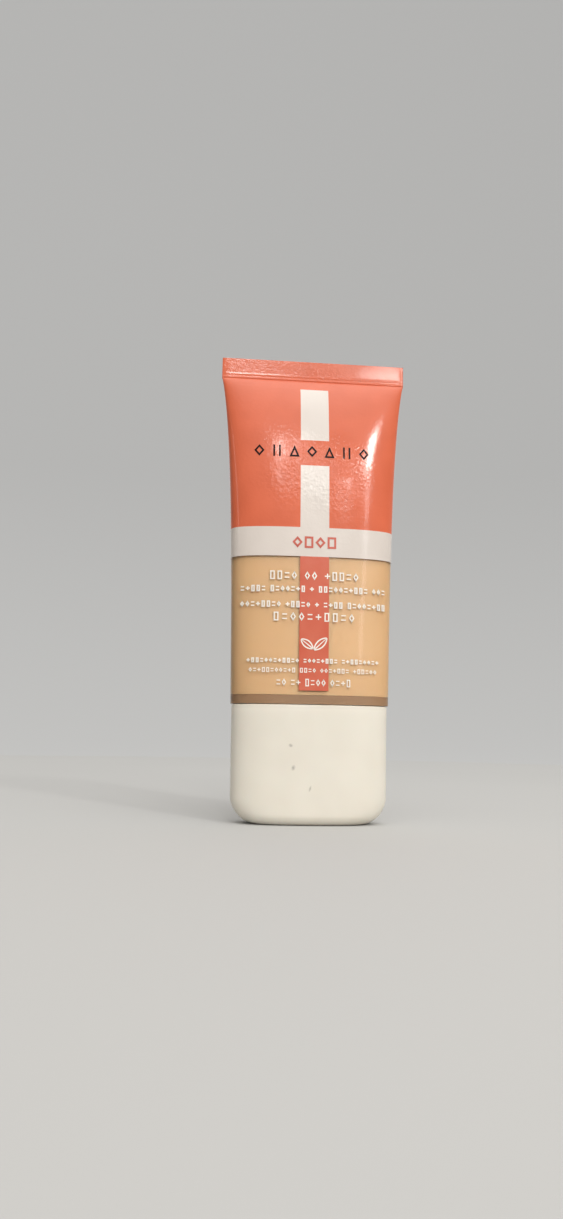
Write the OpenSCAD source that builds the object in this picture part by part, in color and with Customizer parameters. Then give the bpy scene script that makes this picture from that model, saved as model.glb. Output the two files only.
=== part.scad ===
// Oval squeeze tube of liquid foundation, standing on its oval screw cap.
// Origin: centre of the cap's flat end. +Z runs up to the crimp, the front faces -Y.

/* [Tube] */
// Height from the cap's flat end to the top of the crimp
overall_h = 116.6; // [115:0.1:135]
// Width of the flat crimp, half of the round tube's girth
crimp_w = 47.1; // [44:0.1:52]
// Height of the flat sealed band
crimp_h = 5.4; // [4:0.1:6.5]
// Thickness of the clear wall
wall_t = 0.45; // [0.35:0.05:0.6]
// Depth of the oval where the tube meets the cap
foot_depth = 16.2; // [14:0.1:18]
// How much flatter the oval gets on its way up, before the taper
flatten = 0.28; // [0:0.01:0.35]
// How late the taper to the crimp sets in
taper_power = 4.4; // [2:0.1:6]

/* [Printing] */
// Width of the centre stripe
stripe_w = 7.1; // [5:0.1:9]
// Bottom and top of the white band
band_low = 64.1; // [60:0.1:68]
band_high = 71.4; // [69:0.1:75]
// Bottom and top of the gap that holds the dark marks
gap_low = 87.4; // [82:0.1:90]
gap_high = 94.1; // [91:0.1:98]
// Top of the upper white stripe
stripe_top = 108.4; // [102:0.1:108.4]
// Bottom of the lower stripe
stripe_foot = 31.5; // [31.5:0.1:36]
// Thickness of an ink film, thicker than real ink so that it stays a solid
ink_t = 0.08; // [0.05:0.01:0.12]

/* [Marks] */
// Bottom and top of the dark row in the stripe's gap
title_low = 89.7; // [88:0.1:90]
title_high = 92.5; // [91:0.1:93.5]
// Bottom and top of the bold marks on the band
band_mark_low = 66.3; // [65:0.1:67]
band_mark_high = 69.1; // [68:0.1:70]
// Bottom of the small leaf over the lower stripe
leaf_low = 41.4; // [40.5:0.1:42]
// Height of the leaf's bars, and from one bar to the next
leaf_bar_h = 0.55; // [0.3:0.05:0.7]
leaf_pitch = 0.9; // [0.8:0.05:1]
// Bottom of the lowest line on the back
back_low = 78; // [74:0.5:80]
// Height of the lines on the back, and from one line to the next
back_line_h = 1.3; // [0.8:0.1:1.6]
back_pitch = 3.4; // [2.5:0.1:3.6]

/* [Head and nozzle] */
// Height of the head's skirt inside the end of the tube
skirt_h = 2.1; // [1.6:0.1:2.5]
// Length of the neck below the shoulder
neck_len = 12.7; // [11:0.1:14]
// Radius of the neck under its thread
neck_r = 4.3; // [4.1:0.1:4.4]
// Radius of the bore through the neck
neck_bore_r = 2.9; // [2.4:0.1:3.1]
// Radius of the dosing hole
orifice_r = 0.9; // [0.7:0.05:1.1]

/* [Thread] */
// Distance that one full turn lifts the tube
thread_lead = 5; // [4.6:0.1:6]
// Height of a thread ridge above its core
ridge_h = 0.65; // [0.5:0.05:0.7]
// Gap between a ridge and the wall it faces
thread_gap = 0.15; // [0.1:0.01:0.2]

/* [Cap] */
// Height of the cap
cap_h = 28.2; // [27.5:0.1:28.6]
// Width and depth of the cap at its rim
cap_w = 38.1; // [37:0.1:38.4]
cap_depth = 15.6; // [15:0.1:16]
// Narrowing of each side from the rim to the flat end
cap_draft = 0.2; // [0:0.05:0.4]
// Corner radius seen from the front, and from the side
end_round_x = 6.5; // [5:0.1:7]
end_round_y = 2.5; // [2:0.1:3]
// Wall of the outer shell
shell_t = 1.3; // [1.1:0.1:1.5]
// Wall of the threaded socket, thinned where the shell leaves less room
socket_t = 1.2; // [1:0.1:1.3]

/* [Hidden] */

$fn = 64;
ink_coral = "#E2805F";
ink_white = "#E6D8C8";
ink_dark = "#2B2624";
cap_white = "#E9E4DA";
cream_tan = "#D9A574";
natural = "#B98F6C";
clear_wall = [0.85, 0.86, 0.86, 0.35];

bell = 2.8;                               // roundness of the oval section
shoulder_power = 1.7;                     // roundness of the taper under the crimp
tube_foot = cap_h + 0.1;                  // lower end of the clear tube
crimp_low = overall_h - crimp_h;          // where the flat band begins
crimp_t = 2 * wall_t;
ink_gap = 0.03;                           // air between a film and the wall
fit_gap = 0.05;                           // gap between pieces that are seated in one another
side_cols = 16;                           // columns from the front's middle to one side
stripe_cols = 2;                          // those of them that lie on the stripe
cols = 4 * side_cols;
ink_low = ink_gap;
ink_high = ink_gap + ink_t;
over_print = ink_high + 0.02;             // underside of a mark that lies on printing

// lengths of the marks in each row
title_lengths = [1.6, 2.3, 1.2, 2.1, 2.1, 1.4, 2.3, 1.1, 1.6];
band_lengths = [2.2, 2.9, 1.7, 2.5];
// bottom, top and lengths of each row of small marks
line_rows = [
    [58.7, 60, [3.6, 4.6, 5.6, 6.6]],
    [55.1, 56.9, [7.6, 8, 1.4, 8.2, 8.4]],
    [51.3, 53, [8.8, 6.6, 1.4, 9.6, 7]],
    [48.5, 49.8, [4, 3.6, 4.8, 6.2]],
    [37.8, 39.4, [7.4, 9.6, 6.2, 7]],
    [35.4, 36.6, [5.6, 7.2, 4.4, 5, 5.4]],
    [32.6, 33.8, [4.2, 5.6, 5.2]]
];
back_lengths = [
    [6.2, 4.8, 7.4, 5.2],
    [6.2, 4.8, 7.4, 5.5],
    [6.2, 4.8, 7.4, 5.2],
    [6.2, 4.8, 7.4, 5.5],
    [6.2, 4.8, 7.4, 5.2],
    [5.4, 4.2, 6]
];
title_space = 1.4;
band_space = 0.5;
line_space = 0.6;

shoulder_low = tube_foot + 0.05;
skirt_top = shoulder_low + skirt_h;
neck_end = shoulder_low - neck_len;
shoulder_t = 1.3;
skirt_t = 0.9;
flange_t = 1;
flange_low = neck_end - flange_t;
nozzle_len = 5.2;
nozzle_wall = 0.7;
nozzle_floor = 2.2;                       // length of the dosing hole
nozzle_cone = 1.8;                        // length over which it widens
wad_t = 0.9;
wad_hole_r = orifice_r + 0.4;
socket_floor = flange_low - 0.1 - wad_t;  // top of the socket's floor
floor_t = 1;
socket_r = neck_r + ridge_h + thread_gap;
socket_out = min(socket_r + socket_t, cap_depth / 2 - cap_draft - shell_t - fit_gap);
pin_r = orifice_r - 0.15;
pin_reach = 0.9;                          // how far the plug pin goes into the nozzle
deck_top = cap_h - 0.7;
deck_t = 1.1;
rim_round = 0.35;
ridge_foot = 0.6;                         // half height of a thread ridge at its foot
ridge_crest = 0.25;                       // half height at its crest
ridge_sink = 0.15;                        // how deep its foot sinks into the core
thread_low = neck_end + 1.8;              // bottom of the threaded stretch
ridge_steps = 30;                         // sections in one turn of a ridge

// ---- shape of the tube's wall ----

function rise(z) = min(max((z - cap_h) / (crimp_low - cap_h), 0), 1);

// depth of the bulge between the two walls at height z
function bulge_depth(z) =
    let (t = rise(z))
    (foot_depth - crimp_t) * (1 - flatten * t) * pow(1 - pow(t, taper_power), 1 / shoulder_power);

// the wall keeps its length round, so the oval narrows as it deepens
function half_width(z) = crimp_w / 2 * (1 - 0.83 * pow((bulge_depth(z) + crimp_t) / crimp_w, 1.44));

function stripe_angle(z) = acos(pow(stripe_w / 2 / half_width(z), bell / 2));

// share of the half width that column k reaches, from 0 at the middle to 1 at the side
function reach(k, z) =
    k <= stripe_cols
    ? k / stripe_cols * stripe_w / 2 / half_width(z)
    : pow(cos(stripe_angle(z) * (side_cols - k) / (side_cols - stripe_cols)), 2 / bell);

// point of the wall's outside at column c and height z, moved out by g
function wall_at(c, z, g) =
    let (
        turn = (c % cols + cols) % cols,
        right = turn <= 2 * side_cols,
        across = right ? turn : cols - turn,
        front = across <= side_cols,
        s = reach(front ? across : 2 * side_cols - across, z),
        lip = g < 0 ? 0 : wall_t * pow(1 - pow(s, 12), 1 / 12),
        swell = bulge_depth(z) / 2 + (g < 0 ? g + wall_t : g),
        y = lip + swell * pow(max(1 - pow(s, bell), 0), 1 / bell)
    )
    [(right ? 1 : -1) * (half_width(z) + g) * s, front ? -y : y, z];

// the same between two columns, on the flat facet that joins them
function skin_at(c, z, g) =
    let (low = floor(c), f = c - low)
    f == 0 ? wall_at(low, z, g) : (1 - f) * wall_at(low, z, g) + f * wall_at(low + 1, z, g);

// column that lies at distance x from the middle of the front
function column_of(x, z) =
    abs(x) <= stripe_w / 2
    ? stripe_cols * x / (stripe_w / 2)
    : sign(x) * (side_cols - (side_cols - stripe_cols)
        * acos(pow(abs(x) / half_width(z), bell / 2)) / stripe_angle(z));

function steps(low, high, n) = [for (i = [0:n - 1]) low + (high - low) * i / n];

stripe_rows = concat(steps(gap_high, stripe_top, 5), [stripe_top]);
lower_rows = concat(steps(band_high, gap_low, 4), steps(gap_low, gap_high, 2));
shoulder_rows = [for (i = [1:5]) crimp_low - (crimp_low - stripe_top) * pow(1 - i / 5, 2)];
print_rows = concat(lower_rows, stripe_rows, shoulder_rows, [overall_h - 0.05]);
band_rows = steps(band_low, band_high, 2);
stripe_low_rows = concat(steps(stripe_foot, band_low, 6), [band_low]);
wall_rows = concat([tube_foot, skirt_top], steps(stripe_foot, band_low, 6), band_rows,
                   lower_rows, stripe_rows, shoulder_rows);
// the inside of the wall takes every second row, and every row in the taper
inner_rows = [for (i = [0:len(wall_rows) - 2]) if (i % 2 == 0 || wall_rows[i] > stripe_top) wall_rows[i]];

function ring(z, g) = [for (c = [0:cols - 1]) wall_at(c, z, g)];

// quads between ring i and ring i + 1 of n points, facing out when the rings go up
function belt(i, n) = [for (j = [0:n - 1]) let (k = (j + 1) % n)
    [i * n + j, (i + 1) * n + j, (i + 1) * n + k, i * n + k]];

// closed solid through a list of rings that all have n points
module loft(rings, n) {
    last = len(rings) - 1;
    polyhedron(
        points = [for (r = rings) each r],
        faces = concat(
            [[for (j = [0:n - 1]) j]],
            [for (i = [0:last - 1]) each belt(i, n)],
            [[for (j = [n - 1:-1:0]) last * n + j]]
        ),
        convexity = 6
    );
}

// strips that close a ring of the tube from its front to its back
function lid(i) = [for (c = [-side_cols:side_cols - 1])
    let (
        left = [(c + cols) % cols, 2 * side_cols - c],
        right = [c + 1 < 0 ? c + 1 + cols : c + 1, 2 * side_cols - c - 1],
        tip = c == -side_cols ? [left[0]] : left,
        end = c == side_cols - 1 ? [right[0]] : right
    )
    [for (j = concat(tip, [for (k = [len(end) - 1:-1:0]) end[k]])) i * cols + j]];

// closed solid through rings of the tube's own columns
module tube_loft(rings) {
    last = len(rings) - 1;
    polyhedron(
        points = [for (r = rings) each r],
        faces = concat(
            [for (f = lid(0)) [for (k = [len(f) - 1:-1:0]) f[k]]],
            [for (i = [0:last - 1]) each belt(i, cols)],
            lid(last)
        ),
        convexity = 6
    );
}

// ink film over the cells of the wall for which on(row, column) is true
module film(rows, on) {
    n = len(rows) * cols;
    function id(layer, i, j) = layer * n + i * cols + (j + cols) % cols;
    function lit(i, j) = i >= 0 && i < len(rows) - 1 && on(i, (j + cols) % cols);
    polyhedron(
        points = concat(
            [for (z = rows) each ring(z, ink_high)],
            [for (z = rows) each ring(z, ink_low)]
        ),
        faces = [for (i = [0:len(rows) - 2], j = [0:cols - 1]) if (lit(i, j)) each concat(
            [[id(0, i, j), id(0, i + 1, j), id(0, i + 1, j + 1), id(0, i, j + 1)]],
            [[id(1, i, j), id(1, i, j + 1), id(1, i + 1, j + 1), id(1, i + 1, j)]],
            lit(i - 1, j) ? [] : [[id(0, i, j), id(0, i, j + 1), id(1, i, j + 1), id(1, i, j)]],
            lit(i + 1, j) ? [] : [[id(0, i + 1, j + 1), id(0, i + 1, j),
                                   id(1, i + 1, j), id(1, i + 1, j + 1)]],
            lit(i, j - 1) ? [] : [[id(0, i + 1, j), id(0, i, j), id(1, i, j), id(1, i + 1, j)]],
            lit(i, j + 1) ? [] : [[id(0, i, j + 1), id(0, i + 1, j + 1),
                                   id(1, i + 1, j + 1), id(1, i, j + 1)]]
        )],
        convexity = 10
    );
}

// one printed dash from x0 to x1 and z0 to z1, lifted above the wall by lift
module dash(x0, x1, z0, z1, lift = ink_low, back = false) {
    mid = (z0 + z1) / 2;
    a = column_of(x0, mid);
    b = column_of(x1, mid);
    inner = [for (c = [ceil(a + 0.01):1:floor(b - 0.01)]) c];
    across = concat([a], inner, [b]);
    function at(c, z, g) = let (p = skin_at(c, z, g)) back ? [-p.x, -p.y, p.z] : p;
    loft([for (c = across) [
        at(c, z0, lift + ink_t),
        at(c, z0, lift),
        at(c, z1, lift),
        at(c, z1, lift + ink_t)
    ]], 4);
}

// a row of dashes whose lengths follow the list, spread evenly and centred
module dash_row(lengths, z0, z1, space, lift = ink_low, back = false) {
    function sum_to(i) = i == 0 ? 0 : sum_to(i - 1) + lengths[i - 1] + space;
    total = sum_to(len(lengths)) - space;
    for (i = [0:len(lengths) - 1]) {
        left = sum_to(i) - total / 2;
        dash(left, left + lengths[i], z0, z1, lift, back);
    }
}

// ---- threads ----

// helical ridge on radius r, standing out by h (inwards when h is negative)
module ridge(r, h, low, turns, start) {
    n = ceil(ridge_steps * turns);
    sink = h > 0 ? -ridge_sink : ridge_sink;
    function grow(i) = min(1, (i + 0.4) / 4, (n - i + 0.4) / 4);
    function place(i, radius, dz) =
        let (a = start + 360 * turns * i / n)
        [radius * cos(a), radius * sin(a), low + thread_lead * turns * i / n + dz];
    function section(i) = [
        place(i, r + sink, -ridge_foot),
        place(i, r + h * grow(i), -ridge_crest),
        place(i, r + h * grow(i), ridge_crest),
        place(i, r + sink, ridge_foot)
    ];
    rings = [for (i = [0:n]) section(i)];
    if (h > 0) loft([for (i = [n:-1:0]) rings[i]], 4);
    else loft(rings, 4);
}

// ---- outline of the cap ----

function corner(z, r) = z >= r ? 0 : r - sqrt(r * r - (r - z) * (r - z));

// ring of the cap's oval at height z, set in from the outside by t
function cap_ring(z, t, low = 0) =
    let (
        draft = cap_draft * (1 - z / cap_h),
        rim = max(z - (cap_h - rim_round), 0),
        a = cap_w / 2 - draft - t - corner(z - low, end_round_x - t) - (t == 0 ? rim : 0),
        b = cap_depth / 2 - draft - t - corner(z - low, end_round_y - t) - (t == 0 ? rim : 0)
    )
    [for (j = [0:cols - 1]) let (w = 360 * j / cols, c = cos(w), s = sin(w))
        [a * sign(c) * pow(abs(c), 2 / bell), b * sign(s) * pow(abs(s), 2 / bell), z]];

module cap_outline(z, t) {
    polygon([for (p = cap_ring(z, t)) [p.x, p.y]]);
}

module sleeve_outline(z_x, z_y, g) {
    polygon([for (c = [0:cols - 1]) [wall_at(c, z_x, g).x, wall_at(c, z_y, g).y]]);
}

// ---- sub-parts ----

// white oval outer shell of the cap
module cap_shell() {
    round_rows = [for (i = [0:7]) end_round_x * (1 - cos(90 * i / 7))];
    outer = concat(
        [for (z = round_rows) cap_ring(z, 0)],
        [cap_ring(cap_h - rim_round, 0), cap_ring(cap_h, 0)]
    );
    hollow_rows = [for (i = [5:-1:0]) shell_t + (end_round_x - shell_t) * (1 - cos(90 * i / 5))];
    inner = [for (z = concat([cap_h], hollow_rows)) cap_ring(z, shell_t, shell_t)];
    color(cap_white) loft(concat(outer, inner), cols);
}

// threaded socket with its oval deck, plug pin and floor
module cap_liner() {
    color(cap_white) {
        difference() {
            union() {
                translate([0, 0, deck_top - deck_t])
                    linear_extrude(deck_t) cap_outline(deck_top - deck_t, shell_t + fit_gap);
                translate([0, 0, socket_floor - floor_t])
                    cylinder(r = socket_out, h = deck_top - socket_floor + floor_t);
            }
            translate([0, 0, socket_floor]) cylinder(r = socket_r, h = deck_top);
        }
        translate([0, 0, socket_floor - floor_t / 2])
            cylinder(r = pin_r, h = flange_low + pin_reach - socket_floor + floor_t / 2);
        for (start = [0, 180])
            ridge(socket_r, -ridge_h, thread_low + thread_lead / 2, 0.75, start);
    }
}

// foam ring that the nozzle presses on
module seal_wad() {
    color("#F3EFE6") translate([0, 0, socket_floor + 0.01])
        difference() {
            cylinder(r = neck_r, h = wad_t);
            translate([0, 0, -1]) cylinder(r = wad_hole_r, h = wad_t + 2);
        }
}

// flanged dosing nozzle in the end of the neck
module nozzle_insert() {
    passage_r = neck_bore_r - nozzle_wall;
    cone_top = nozzle_floor + nozzle_cone;
    color(natural) translate([0, 0, flange_low]) difference() {
        union() {
            cylinder(r = neck_r - fit_gap, h = flange_t - fit_gap);
            cylinder(r = neck_bore_r - fit_gap, h = nozzle_len);
        }
        translate([0, 0, -1]) cylinder(r = orifice_r, h = nozzle_len + 2);
        translate([0, 0, nozzle_floor]) cylinder(r1 = orifice_r, r2 = passage_r, h = nozzle_cone);
        translate([0, 0, cone_top - 0.01]) cylinder(r = passage_r, h = nozzle_len);
    }
}

// oval shoulder with its skirt and the threaded neck
module tube_head() {
    color(natural) {
        difference() {
            union() {
                translate([0, 0, shoulder_low])
                    linear_extrude(skirt_h) sleeve_outline(shoulder_low, skirt_top, -wall_t - fit_gap);
                translate([0, 0, neck_end]) cylinder(r = neck_r, h = neck_len + shoulder_t / 2);
            }
            translate([0, 0, shoulder_low + shoulder_t])
                linear_extrude(skirt_h)
                    sleeve_outline(shoulder_low, skirt_top, -wall_t - fit_gap - skirt_t);
            translate([0, 0, neck_end - 1]) cylinder(r = neck_bore_r, h = neck_len + shoulder_t + 2);
        }
        for (start = [0, 180])
            ridge(neck_r, ridge_h, thread_low + thread_lead / 4, 1, start);
    }
}

// clear squeezable tube, pressed flat and sealed at the top
module tube_sleeve() {
    color(clear_wall) tube_loft(concat(
        [ring(crimp_low - 0.05, -wall_t)],
        [for (i = [len(inner_rows) - 1:-1:0]) ring(inner_rows[i], -wall_t)],
        [for (z = wall_rows) ring(z, 0)],
        [ring(overall_h, 0)]
    ));
}

// the foundation that fills the tube
module foundation_cream() {
    rows = concat(
        [skirt_top + 0.05],
        [for (z = inner_rows) if (z > skirt_top + 1 && z < crimp_low - 0.5) z]
    );
    color(cream_tan) tube_loft([for (z = rows) ring(z, -wall_t - ink_gap)]);
}

function on_stripe(j) = j < stripe_cols || j >= cols - stripe_cols;
function in_stripe_rows(z) = z < gap_low - 0.01 || (z > gap_high - 0.01 && z < stripe_top - 0.01);

// coral ink from the band to the crimp, with a window for the white stripe
module coral_print() {
    color(ink_coral) film(print_rows, function(i, j) !(on_stripe(j) && in_stripe_rows(print_rows[i])));
}

// white band all round and the white centre stripe
module white_print() {
    rows = concat(band_rows, lower_rows, stripe_rows);
    color(ink_white) film(rows, function(i, j)
        rows[i] < band_high - 0.01 || (on_stripe(j) && in_stripe_rows(rows[i])));
}

// coral centre stripe on the clear lower part
module lower_stripe_print() {
    color(ink_coral) film(stripe_low_rows, function(i, j) on_stripe(j));
}

// thin dark row of plain marks in the gap of the stripe
module title_marks() {
    color(ink_dark) dash_row(title_lengths, title_low, title_high, title_space, over_print);
}

// bold coral marks on the white band
module band_marks() {
    color(ink_coral) dash_row(band_lengths, band_mark_low, band_mark_high, band_space, over_print);
}

// rows of small white marks on the clear lower part
module line_marks() {
    color(ink_white) for (row = line_rows)
        dash_row(row[2], row[0], row[1], line_space, over_print);
}

// small white leaf over the lower stripe, its bars shorter towards the tip
module leaf_mark() {
    stem = 0.2;
    longest = 2.4;
    shorter = 0.5;
    color(ink_white) for (side = [-1, 1], i = [0:3]) {
        length = longest - shorter * i;
        low = leaf_low + leaf_pitch * i;
        left = side < 0 ? -stem - length : stem;
        dash(left, left + length, low, low + leaf_bar_h, over_print);
    }
}

// block of small white lines on the back
module back_marks() {
    color(ink_white) for (i = [0:len(back_lengths) - 1]) {
        low = back_low + back_pitch * i;
        dash_row(back_lengths[i], low, low + back_line_h, line_space, over_print, true);
    }
}

cap_shell();
cap_liner();
seal_wad();
nozzle_insert();
tube_head();
tube_sleeve();
foundation_cream();
coral_print();
white_print();
lower_stripe_print();
title_marks();
band_marks();
line_marks();
leaf_mark();
back_marks();
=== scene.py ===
import math
import bpy
from mathutils import Euler, Matrix, Vector


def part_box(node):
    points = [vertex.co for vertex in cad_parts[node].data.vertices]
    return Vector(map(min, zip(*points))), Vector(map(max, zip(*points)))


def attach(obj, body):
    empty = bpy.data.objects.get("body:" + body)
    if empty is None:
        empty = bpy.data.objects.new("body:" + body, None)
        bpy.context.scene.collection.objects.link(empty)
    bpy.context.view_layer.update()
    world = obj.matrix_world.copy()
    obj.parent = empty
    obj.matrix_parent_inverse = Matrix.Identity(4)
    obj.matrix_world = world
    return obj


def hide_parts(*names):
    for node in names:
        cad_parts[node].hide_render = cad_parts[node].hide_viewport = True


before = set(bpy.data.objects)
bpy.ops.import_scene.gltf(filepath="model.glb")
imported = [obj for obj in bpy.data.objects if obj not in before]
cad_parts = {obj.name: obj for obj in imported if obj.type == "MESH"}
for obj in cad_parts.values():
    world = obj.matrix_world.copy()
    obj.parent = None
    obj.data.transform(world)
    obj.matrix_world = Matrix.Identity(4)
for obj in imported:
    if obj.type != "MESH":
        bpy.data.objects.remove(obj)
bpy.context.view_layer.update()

# ---------------------------------------------------------------- sizes, in metres
MM = 0.001

SLEEVE_LOW, SLEEVE_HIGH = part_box("tube_sleeve")
CAP_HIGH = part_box("cap_shell")[1]
CREAM_LOW, CREAM_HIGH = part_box("foundation_cream")
WHITE_LOW, WHITE_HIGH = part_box("white_print")
CORAL_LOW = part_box("coral_print")[0]
STRIPE_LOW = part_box("lower_stripe_print")[0]
HEAD_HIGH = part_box("tube_head")[1]

TUBE_FOOT = SLEEVE_LOW.z
TUBE_TOP = SLEEVE_HIGH.z
CAP_TOP = CAP_HIGH.z
WALL = 0.45 * MM                        # thickness of the clear wall
INK_GAP = 0.02 * MM                     # a film's underside above the wall
INK = 0.05 * MM                         # thickness of a film
TRIM = 0.06 * MM                        # how far below the crimp's cut edge the films stop
WETTING = 0.03 * MM                     # how far the filling reaches into the wall, so that no air is between
SHOULDER = TUBE_FOOT + 0.05 * MM        # underside of the head's shoulder
CRIMP_H = 5.4 * MM
CRIMP_LOW = TUBE_TOP - CRIMP_H
CRIMP_W = 47.1 * MM
RIDGE_UP = 0.35 * MM                    # the bold embossed line, above the crimp's foot
LINE_UP = 1.25 * MM                     # the faint one above it
FOOT_DEPTH = 16.2 * MM                  # depth of the oval at the cap
STRIPE_W = 7.1 * MM
BAND_LOW, BAND_HIGH = WHITE_LOW.z, CORAL_LOW.z
STRIPE_TOP = WHITE_HIGH.z
GAP_LOW, GAP_HIGH = 87.4 * MM, 94.1 * MM   # break in the white stripe, for the title
STRIPE_FOOT = STRIPE_LOW.z

BELL = 2.8                              # roundness of the oval
FLATTEN = 0.28                          # how much flatter the oval gets on its way up
TAPER_POWER = 4.4                       # how late the oval starts to close towards the crimp
SHOULDER_POWER = 1.7                    # how full its shoulders stay there
WIDEN, WIDEN_POWER = 0.83, 1.44         # how the oval widens as it flattens, at a constant girth
END_POWER = 12                          # squareness of the wall's rounded ends
SIDE = 16                               # columns from the middle of the front to one side
STRIPE_COLS = 2                         # those of them that lie on the stripe
ROUND = 4 * SIDE                        # columns all the way round


# ---------------------------------------------------------------- the tube's wall
def bulge_depth(z):
    rise = min(max((z - CAP_TOP) / (CRIMP_LOW - CAP_TOP), 0.0), 1.0)
    taper = max(1.0 - rise ** TAPER_POWER, 0.0) ** (1.0 / SHOULDER_POWER)
    return (FOOT_DEPTH - 2 * WALL) * (1.0 - FLATTEN * rise) * taper


def half_width(z):
    depth_share = (bulge_depth(z) + 2 * WALL) / CRIMP_W
    return CRIMP_W / 2 * (1.0 - WIDEN * depth_share ** WIDEN_POWER)


def stripe_angle(z):
    return math.acos((STRIPE_W / 2 / half_width(z)) ** (BELL / 2))


def reach(k, z):
    """Share of the half width that column k reaches, from the middle to the side."""
    if k <= STRIPE_COLS:
        return k / STRIPE_COLS * STRIPE_W / 2 / half_width(z)
    return math.cos(stripe_angle(z) * (SIDE - k) / (SIDE - STRIPE_COLS)) ** (2 / BELL)


def hand_dents(x, z, front):
    """How far a squeezed tube's wall has settled inwards, never outwards."""
    deepest, fade_top, fade_foot = 0.16 * MM, 12 * MM, 14 * MM
    fade = min(max((CRIMP_LOW - z) / fade_top, 0.0), 1.0) * min(max((z - TUBE_FOOT) / fade_foot, 0.0), 1.0)
    u, v = x / MM, z / MM
    side = 0.0 if front else 2.1
    wave = (
        0.50
        + 0.22 * math.sin(0.21 * u + 0.11 * v + side)
        + 0.18 * math.sin(-0.13 * u + 0.19 * v + 1.3 + side)
        + 0.10 * math.sin(0.33 * u - 0.07 * v + 4.0 * side)
    )
    return fade * deepest * wave


def crimp_relief(z):
    """Two fine embossed lines along the foot of the crimp."""
    spread_out = 0.16 * MM
    lines = ((RIDGE_UP, 0.06 * MM), (LINE_UP, 0.025 * MM))
    return sum(h * math.exp(-(((z - CRIMP_LOW - at) / spread_out) ** 2)) for at, h in lines)


def wall_at(c, z, out):
    """Point of the wall's outside at column c and height z, moved out by out."""
    turn = c % ROUND
    right = turn <= 2 * SIDE
    across = turn if right else ROUND - turn
    front = across <= SIDE
    s = min(reach(across if front else 2 * SIDE - across, z), 1.0)
    inside = out < -0.5 * WALL
    lip = 0.0 if inside else WALL * (1.0 - s ** END_POWER) ** (1 / END_POWER)
    swell = bulge_depth(z) / 2 + (out + WALL if inside else out)
    belly = max(1.0 - s ** BELL, 0.0) ** (1 / BELL)
    x = (1 if right else -1) * (half_width(z) + out) * s
    y = lip + crimp_relief(z) * belly + swell * belly - hand_dents(x, z, front) * belly
    return Vector((x, -y if front else y, z))


def column_of(x, z):
    """Column that lies at distance x from the middle of the front."""
    if abs(x) <= STRIPE_W / 2:
        return STRIPE_COLS * x / (STRIPE_W / 2)
    share = min(abs(x) / half_width(z), 1.0)
    turned = math.acos(share ** (BELL / 2)) / stripe_angle(z)
    return math.copysign(SIDE - (SIDE - STRIPE_COLS) * turned, x)


def spread(low, high, n):
    """Even heights from low up to, but without, high."""
    return [low + (high - low) * i / n for i in range(n)]


# rows of the wall, from the cap to the crimp: close together where the crimp is embossed
CRIMP_STEPS = (0, 0.12, 0.24, 0.35, 0.46, 0.6, 0.8, 1.0, 1.15, 1.25, 1.35, 1.5, 1.8, 2.6, 3.6, 4.6)
CRIMP_ROWS = [CRIMP_LOW + step * MM for step in CRIMP_STEPS]
TAPER_ROWS = [CRIMP_LOW - (CRIMP_LOW - STRIPE_TOP) * (1 - i / 16) ** 2 for i in range(16)]
PRINT_ROWS = (
    spread(BAND_HIGH, GAP_LOW, 14) + spread(GAP_LOW, GAP_HIGH, 6) + spread(GAP_HIGH, STRIPE_TOP, 14)
    + TAPER_ROWS + CRIMP_ROWS + [TUBE_TOP - TRIM]
)
BAND_ROWS = spread(BAND_LOW, BAND_HIGH, 7)
CLEAR_ROWS = spread(STRIPE_FOOT, BAND_LOW, 26)
FOOT_ROWS = spread(TUBE_FOOT, STRIPE_FOOT, 5)
WALL_ROWS = FOOT_ROWS + CLEAR_ROWS + BAND_ROWS + PRINT_ROWS[:-1] + [TUBE_TOP]


def columns(start, end, fine=3):
    """Columns from start to end, in thirds."""
    return [start + i / fine for i in range((end - start) * fine + 1)]


# ---------------------------------------------------------------- modelling helpers
def deselect():
    if bpy.context.mode != "OBJECT":
        bpy.ops.object.mode_set(mode="OBJECT")
    bpy.ops.object.select_all(action="DESELECT")


def only(piece):
    deselect()
    piece.select_set(True)
    bpy.context.view_layer.objects.active = piece


def start_edit(piece):
    """Opens one piece for editing with all of it selected."""
    only(piece)
    bpy.ops.object.mode_set(mode="EDIT")
    bpy.ops.mesh.select_all(action="SELECT")


def end_edit():
    bpy.ops.object.mode_set(mode="OBJECT")


def grid_sheet(name, across, up, place):
    """A grid with one vertex at place(a, b) for every a in across and b in up."""
    deselect()
    nx, ny = len(across) - 1, len(up) - 1
    bpy.ops.mesh.primitive_grid_add(x_subdivisions=nx, y_subdivisions=ny, size=2)
    piece = bpy.context.object
    piece.name = piece.data.name = name
    for v in piece.data.vertices:
        i = round((v.co.x + 1) / 2 * nx)
        j = round((v.co.y + 1) / 2 * ny)
        v.co = place(across[i], up[j])
    return piece


def join(name, pieces):
    deselect()
    for p in pieces:
        p.select_set(True)
    bpy.context.view_layer.objects.active = pieces[0]
    bpy.ops.object.join()
    pieces[0].name = pieces[0].data.name = name
    return pieces[0]


def weld(piece, distance=0.002 * MM):
    start_edit(piece)
    bpy.ops.mesh.remove_doubles(threshold=distance)
    bpy.ops.mesh.normals_make_consistent(inside=False)
    end_edit()


def close_ends(piece):
    start_edit(piece)
    bpy.ops.mesh.fill_holes(sides=0)
    bpy.ops.mesh.normals_make_consistent(inside=False)
    end_edit()


def thicken(piece, thickness):
    only(piece)
    wall = piece.modifiers.new("wall", "SOLIDIFY")
    wall.thickness = thickness
    wall.offset = -1
    wall.use_even_offset = False
    bpy.ops.object.modifier_apply(modifier="wall")


def sink(piece, depth):
    """Moves an open sheet inwards along its normals."""
    start_edit(piece)
    bpy.ops.transform.shrink_fatten(value=-depth)
    end_edit()


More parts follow.
